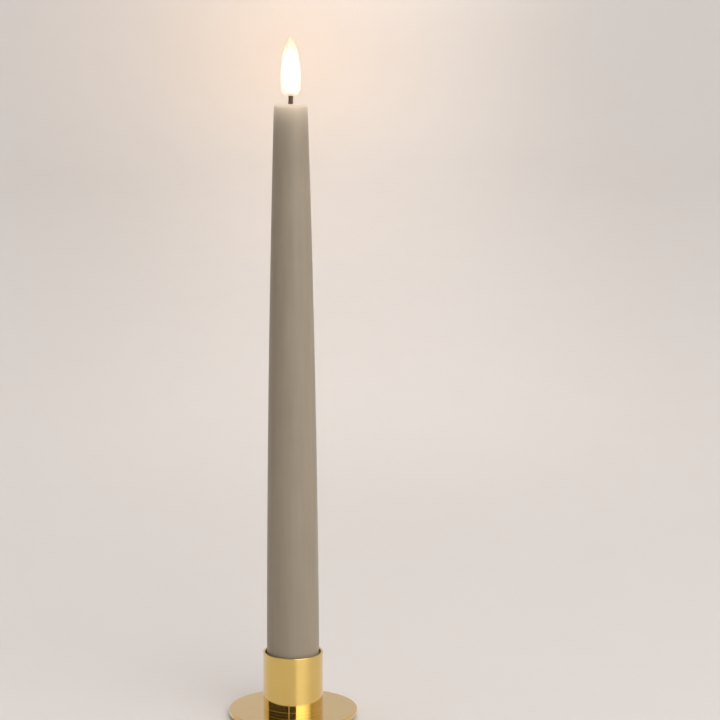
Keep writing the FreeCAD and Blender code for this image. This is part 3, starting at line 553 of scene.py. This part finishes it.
# Shell
# The wax outside: the crown on top, the rounded rim, and the side with its slight bulge
WAX_CROWN = 0.6 * MM
WAX_RIM_LEVEL = WAX_HIGH.z - WAX_CROWN
WAX_RIM = 0.7 * MM
WAX_BULGE = 0.85 * MM
WAX_TOP_RADIUS = 6.96 * MM
WAX_BASE_RADIUS = 11.125 * MM

# The wax inside: the depth of its roof below the rim, and the radius of the bore at the tube's top
WAX_ROOF_DEPTH = 6.1 * MM
WAX_BORE_TOP = 5.76 * MM


def make_wax(look):
    """The wax coat, with the faint waviness that dipping leaves."""
    bottom, top = WAX_LOW.z, WAX_RIM_LEVEL
    middle = ((WAX_BASE_RADIUS + WAX_TOP_RADIUS) / 2 + WAX_BULGE, (bottom + top) / 2)
    roof, hole = top - WAX_ROOF_DEPTH, WICK_HIGH.x + WICK_PLAY
    # The waves' depth, the radius of the circle in the noise that they follow, and their length
    wave, circle, wave_length = 0.05 * MM, 1.4, 40 * MM

    def dipped(radius, height, angle):
        if radius < WAX_TOP_RADIUS - WAX_RIM or height > top - WAX_RIM / 2:
            return radius, height
        place = Vector((circle * math.cos(angle), circle * math.sin(angle), height / wave_length))
        return radius - wave * abs(noise.noise(place)), height

    rim = WAX_RIM * (1 - math.sqrt(0.5))
    side_top = (WAX_TOP_RADIUS, top - WAX_RIM)
    shoulder = (WAX_TOP_RADIUS - WAX_RIM, top)
    crown_middle = ((shoulder[0] + hole) / 2, top + WAX_CROWN * 0.7)
    outline = arc_through((WAX_BASE_RADIUS, bottom), middle, side_top, 160)
    outline += arc_through(side_top, (WAX_TOP_RADIUS - rim, top - rim), shoulder, 8)
    outline += arc_through(shoulder, crown_middle, (hole, top + WAX_CROWN), 16)
    outline += [(hole, top + WAX_CROWN), (hole, roof), (WAX_BORE_TOP, roof)]
    outline += straight((WAX_BORE_TOP, TUBE_HIGH.z), (TUBE_HIGH.x, TUBE_LOW.z), 12)
    outline += [(TUBE_HIGH.x, bottom)]
    wax = lathe("wax_coat", outline, "shell", look, segments=160, shape=dipped)
    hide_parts("wax_shell")


def make_wick(look):
    """The moulded wick: a lightly twisted cord, pinched above the wax."""
    outside, inside = WICK_HIGH.x, 0.78 * MM
    bottom, top = WICK_LOW.z, WICK_HIGH.z
    waist, waist_reach, waist_depth = WAX_HIGH.z + 1.9 * MM, 2.0 * MM, 0.08 * MM
    # Three grooves, their depth, and their twist in radians for each millimetre
    strands, groove, twist = 3, 0.09 * MM, 0.55

    def corded(radius, height, angle):
        if radius <= inside:
            return radius, height
        away = abs(height - waist) / waist_reach
        pinch = waist_depth * max(0.0, 1 - away * away)
        turn = angle + twist * (height - bottom) / MM
        return radius - pinch - groove * (0.5 + 0.5 * math.cos(strands * turn)), height

    outline = straight((outside, bottom), (outside, top), 90)
    outline += [(outside, top), (inside, top), (inside, bottom)]
    wick = lathe("wick", outline, "shell", look, segments=72, shape=corded)
    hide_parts("wick_tube")


# Points of the flame's outside, as radius and height above its foot
FLAME_POINTS = {
    "foot": (2.3 * MM, 0),
    "heel": (3.6 * MM, 1.15 * MM),
    "cheek": (3.95 * MM, 3.7 * MM),
    "belly": (4.07 * MM, 8.6 * MM),
    "waist": (3.42 * MM, 14.8 * MM),
    "brow": (2.3 * MM, 19.8 * MM),
}


def make_flame(outer_look, inner_look):
    """The hollow flame: an outer wall that the light comes through, and the lit inner wall."""
    foot, tip = FLAME_LOW.z, FLAME_HIGH.z
    wall, hole = 0.9 * MM, WICK_HIGH.x + WICK_PLAY
    tip_radius, blunt, tip_wall = 0.35 * MM, 0.25 * MM, 2.2 * MM

    def point(name, inset=0):
        radius, rise = FLAME_POINTS[name]
        return radius - inset, foot + rise

    outer = arc_through(point("foot"), point("heel"), point("cheek"), 14)
    outer += arc_through(point("cheek"), point("belly"), point("waist"), 30)
    outer += arc_through(point("waist"), point("brow"), (tip_radius, tip - blunt), 30)
    outer += [(tip_radius, tip - blunt), (tip_radius * 0.8, tip - blunt * 0.4), (0, tip)]
    inner_foot = (point("foot")[0] - wall / 2, foot + wall)
    inner = [(0, tip - tip_wall)]
    inner += straight((tip_radius, tip - blunt - tip_wall), point("waist", wall), 16)
    inner += arc_through(point("waist", wall), point("belly", wall), point("cheek", wall), 20)
    inner += straight(point("cheek", wall), inner_foot, 8)
    inner += [inner_foot, (hole, foot + wall)]
    outline = outer + inner + [(hole, foot)]
    first_inner = len(outer)
    last_inner = first_inner + len(inner) - 1
    flame = lathe(
        "flame", outline, "shell", outer_look, inner_look, segments=96,
        slot_of=lambda index: 1 if first_inner <= index < last_inner else 0,
    )
    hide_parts("flame_lens")


# Tray
def make_cells(jacket, steel):
    """The two cells: a steel can with a nub, and a shrink wrap that folds over its ends."""
    nub, shoulder = 1.9 * MM, 0.9 * MM
    # The round dimple in the negative end
    dimple_edge, dimple_floor, dimple = 3.7 * MM, 3.45 * MM, 0.2 * MM
    # The wrap's thickness, its fold over each end, and its lap under the shoulder
    wrap, fold, lap = 0.16 * MM, 1.1 * MM, 0.02 * MM
    for node in ("battery_lower", "battery_upper"):
        low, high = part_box(node)
        bottom, top, side = low.z, high.z, high.x
        can_side = side - wrap
        can = [
            (0, bottom), (nub, bottom), (nub, bottom + shoulder), (can_side, bottom + shoulder),
            (can_side, top), (dimple_edge, top), (dimple_floor, top - dimple), (0, top - dimple),
        ]
        can_piece = lathe(f"{node}_can", softened(can, 0.25 * MM), "tray", steel, segments=128)
        lip, mouth = bottom + shoulder - lap, side - fold
        cover = [
            (mouth, lip), (side, lip), (side, top), (mouth, top), (mouth, top - wrap),
            (can_side, top - wrap), (can_side, lip + wrap), (mouth, lip + wrap),
        ]
        rounds = softened(cover, 0.3 * MM)
        wrap_piece = lathe(f"{node}_wrap", rounds, "tray", jacket(bottom, top), segments=128)
        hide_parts(node)


def dress_nodes(looks):
    """Puts a material on each CAD node that stays in view."""
    for node, look in looks.items():
        mesh = nodes[node].data
        mesh.materials.clear()
        mesh.materials.append(look)


# Stage
SWEEP_FLAT = 1.7
SWEEP_WALL = 2.4
SWEEP_HEIGHT = 3.0

# The dark cards: distance, lower and upper edges, and the azimuths of their ends in degrees
CARD_DISTANCE = 1.9
CARD_LOW, CARD_HIGH = 0.55, 1.25
DARK_CARDS = {
    "dark_card_left": (-108, -17.5),
    "dark_card_right": (-13, 11),
}

# The cones of light behind the flame: their distance from its middle, and the half angle in degrees,
# the power in watts and the colour of each
GLOW_OFFSET = 20 * MM
GLOW_AMBER = (1.0, 0.42, 0.0)
GLOW_PEACH = (1.0, 0.56, 0.14)
GLOW_CONES = (
    (1.5, 12, GLOW_AMBER),
    (3.0, 20, GLOW_AMBER),
    (5.0, 24, GLOW_AMBER),
    (9.0, 40, GLOW_PEACH),
)


def make_sweep():
    """A round pale floor that curves up into a wall all the way round."""
    bend = SWEEP_WALL - SWEEP_FLAT
    corner = bend * math.sqrt(0.5)
    outline = straight((0, 0), (SWEEP_FLAT, 0), 24)
    outline += arc_through((SWEEP_FLAT, 0), (SWEEP_FLAT + corner, bend - corner), (SWEEP_WALL, bend), 24)
    outline += [(SWEEP_WALL, bend), (SWEEP_WALL, SWEEP_HEIGHT)]
    lathe("sweep", outline, None, paper_look(), segments=128, closed=False, sharp=90)


def polar(azimuth, elevation, distance, target):
    """A point seen from target at an azimuth right of the camera's side and an elevation, in degrees."""
    a, e = math.radians(azimuth), math.radians(elevation)
    return Vector(target) + distance * Vector(
        (math.sin(a) * math.cos(e), -math.cos(a) * math.cos(e), math.sin(e))
    )


def aim(obj, place, target):
    """Puts a lamp at a place and points it at a target."""
    obj.location = place
    obj.rotation_euler = (Vector(target) - Vector(place)).to_track_quat("-Z", "Y").to_euler()


def add_area(name, place, target, width, height, radiance, colour):
    """An area light of a given radiance, seen in reflections but not by the camera."""
    lamp = bpy.data.lights.new(name, "AREA")
    lamp.shape = "RECTANGLE"
    lamp.size, lamp.size_y = width, height
    lamp.energy = radiance * math.pi * width * height
    lamp.color = colour
    obj = new_object(name, lamp)
    aim(obj, place, target)
    obj.visible_camera = False
    return obj


def shade_softbox(lamp, sides):
    """Varies an area light's strength: for X and Y, sides gives a slope's two places and two values."""
    lamp.use_nodes = True
    tree = lamp.node_tree
    where = tree.nodes.new("ShaderNodeNewGeometry").outputs["Parametric"]
    parts = tree.nodes.new("ShaderNodeSeparateXYZ")
    tree.links.new(where, parts.inputs[0])
    product = tree.nodes.new("ShaderNodeMath")
    product.operation = "MULTIPLY"
    for number, (axis, values) in enumerate(sides.items()):
        slope = tree.nodes.new("ShaderNodeMapRange")
        for socket, value in zip(("From Min", "From Max", "To Min", "To Max"), values):
            slope.inputs[socket].default_value = value
        tree.links.new(parts.outputs[axis], slope.inputs["Value"])
        tree.links.new(slope.outputs["Result"], product.inputs[number])
    tree.links.new(product.outputs[0], tree.nodes["Emission"].inputs["Strength"])


def add_dark_card(name, first, last):
    """A dark curved flag round the front of the set, seen in reflections but not by the camera."""
    form = bmesh.new()
    columns = 24
    rows = []
    for level in (CARD_LOW, CARD_HIGH):
        row = []
        for step in range(columns + 1):
            azimuth = first + (last - first) * step / columns
            row.append(form.verts.new(polar(azimuth, 0, CARD_DISTANCE, (0, 0, level))))
        rows.append(row)
    for step in range(columns):
        form.faces.new((rows[0][step], rows[0][step + 1], rows[1][step + 1], rows[1][step]))
    mesh = bpy.data.meshes.new(name)
    form.to_mesh(mesh)
    form.free()
    look = Look("dark_card", (0.03, 0.028, 0.026), 0.9)
    card = mesh_object(name, mesh, None, look.material)
    card.visible_camera = False
    card.visible_shadow = False
    card.visible_transmission = False


def add_glow(place, direction, half_angle, power, colour):
    """A warm cone of the flame's light that falls on the sweep behind the candle."""
    lamp = bpy.data.lights.new("flame_glow", "SPOT")
    lamp.energy = power
    lamp.color = colour
    lamp.spot_size = 2 * math.radians(half_angle)
    lamp.spot_blend = 1.0
    lamp.shadow_soft_size = 2 * MM
    obj = new_object("flame_glow", lamp)
    aim(obj, place, place + direction)
    obj.visible_camera = False
    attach(obj, "shell")


def light_set():
    """The key softbox at the right, the overhead light, and a narrow strip down the backdrop."""
    middle = (0, 0, 0.12)
    white, warm = (1.0, 0.985, 0.965), (1.0, 0.955, 0.87)
    key_place = polar(43, 27, 2.0, middle)
    key = add_area("key", key_place, middle, width=2.3, height=2.2, radiance=3.0, colour=white)
    shade_softbox(key.data, {"X": (0.45, 1.0, 1.0, 0.05), "Y": (0.4, 0.75, 0.55, 1.35)})
    add_area(
        "overhead", place=(0, 1.0, 2.85), target=(0, 0.9, 0),
        width=3.6, height=3.2, radiance=0.985, colour=white,
    )
    strip = add_area(
        "backdrop_strip", place=(0.04, 1.6, 2.8), target=(0.04, 1.6, 0),
        width=0.2, height=2.3, radiance=0.25, colour=warm,
    )
    strip.data.spread = math.radians(11)


def light_flame():
    """The flame's own light: nested cones that make the halo behind it, and a faint lamp inside it."""
    flame = Vector((0, 0, (FLAME_LOW.z + FLAME_HIGH.z) / 2))
    backward = (flame - Vector(CAMERA_PLACE)).normalized()
    for half_angle, power, colour in GLOW_CONES:
        add_glow(flame + backward * GLOW_OFFSET, backward, half_angle, power, colour)
    lamp_height = 6 * MM
    lamp = bpy.data.lights.new("flame_light", "POINT")
    lamp.energy = 0.004
    lamp.color = (1.0, 0.72, 0.42)
    lamp.shadow_soft_size = 4 * MM
    obj = new_object("flame_light", lamp)
    obj.location = (0, 0, FLAME_LOW.z + lamp_height)
    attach(obj, "shell")
    obj.visible_camera = False


def light_room():
    """The even, slightly warm light of the room."""
    world = bpy.data.worlds.new("room")
    world.use_nodes = True
    background = world.node_tree.nodes["Background"]
    background.inputs["Color"].default_value = (1.0, 0.975, 0.955, 1)
    background.inputs["Strength"].default_value = 0.37
    bpy.context.scene.world = world


def make_camera():
    """The photo's viewpoint, with colours shown as they are lit."""
    data = bpy.data.cameras.new("camera")
    data.lens = CAMERA_LENS
    data.sensor_width = CAMERA_SENSOR
    data.clip_start, data.clip_end = 0.05, 20
    camera = new_object("camera", data)
    camera.location = CAMERA_PLACE
    camera.rotation_euler = (math.pi / 2 - CAMERA_TILT, 0, 0)
    bpy.context.scene.camera = camera
    bpy.context.scene.view_settings.view_transform = "Standard"


# Everything
make_camera()
brass = brass_look("brass", 0.05)
make_plate(brass)
make_cup(brass, brass_look("brass_bore", 0.34))
make_felt(felt_look())
make_wax(wax_look(WAX_RIM_LEVEL))
make_wick(wick_look())
make_flame(*flame_looks(FLAME_LOW.z, FLAME_HIGH.z))
zinc = metal_look("zinc", (0.62, 0.61, 0.59), 0.25)
nickel = metal_look("nickel", (0.70, 0.67, 0.60), 0.18)
make_cells(jacket_look, metal_look("cell_steel", (0.72, 0.71, 0.69), 0.22))
tray_plastic = moulded_look("tray_plastic", (0.72, 0.71, 0.67))
tube_plastic = moulded_look("tube_plastic", (0.72, 0.68, 0.60))
board = board_look()
dress_nodes({
    "cup_screw": zinc,
    "cap_screws": zinc,
    "end_cap": moulded_look("cap_plastic", (0.30, 0.25, 0.19)),
    "battery_tray": tray_plastic,
    "seal_ring": rubber_look(),
    "timer_board": board,
    "contact_board": board,
    "timer_chip": chip_look(1.97 * MM),
    "board_resistors": moulded_look("resistor", (0.03, 0.03, 0.035)),
    "switch_housing": metal_look("switch_case", (0.60, 0.60, 0.58), 0.32),
    "switch_knob": moulded_look("knob_plastic", (0.02, 0.02, 0.02)),
    "positive_contact": nickel,
    "battery_spring": nickel,
    "ground_strip": nickel,
    "led_strip": nickel,
    "inner_tube": tube_plastic,
    "top_plug": tube_plastic,
    "red_wire": moulded_look("red_insulation", (0.45, 0.02, 0.015), 0.35),
    "black_wire": moulded_look("black_insulation", (0.02, 0.02, 0.02), 0.35),
    "led_lamp": epoxy_look(),
})
make_sweep()
light_set()
light_flame()
light_room()
for card, (first, last) in DARK_CARDS.items():
    add_dark_card(card, first, last)
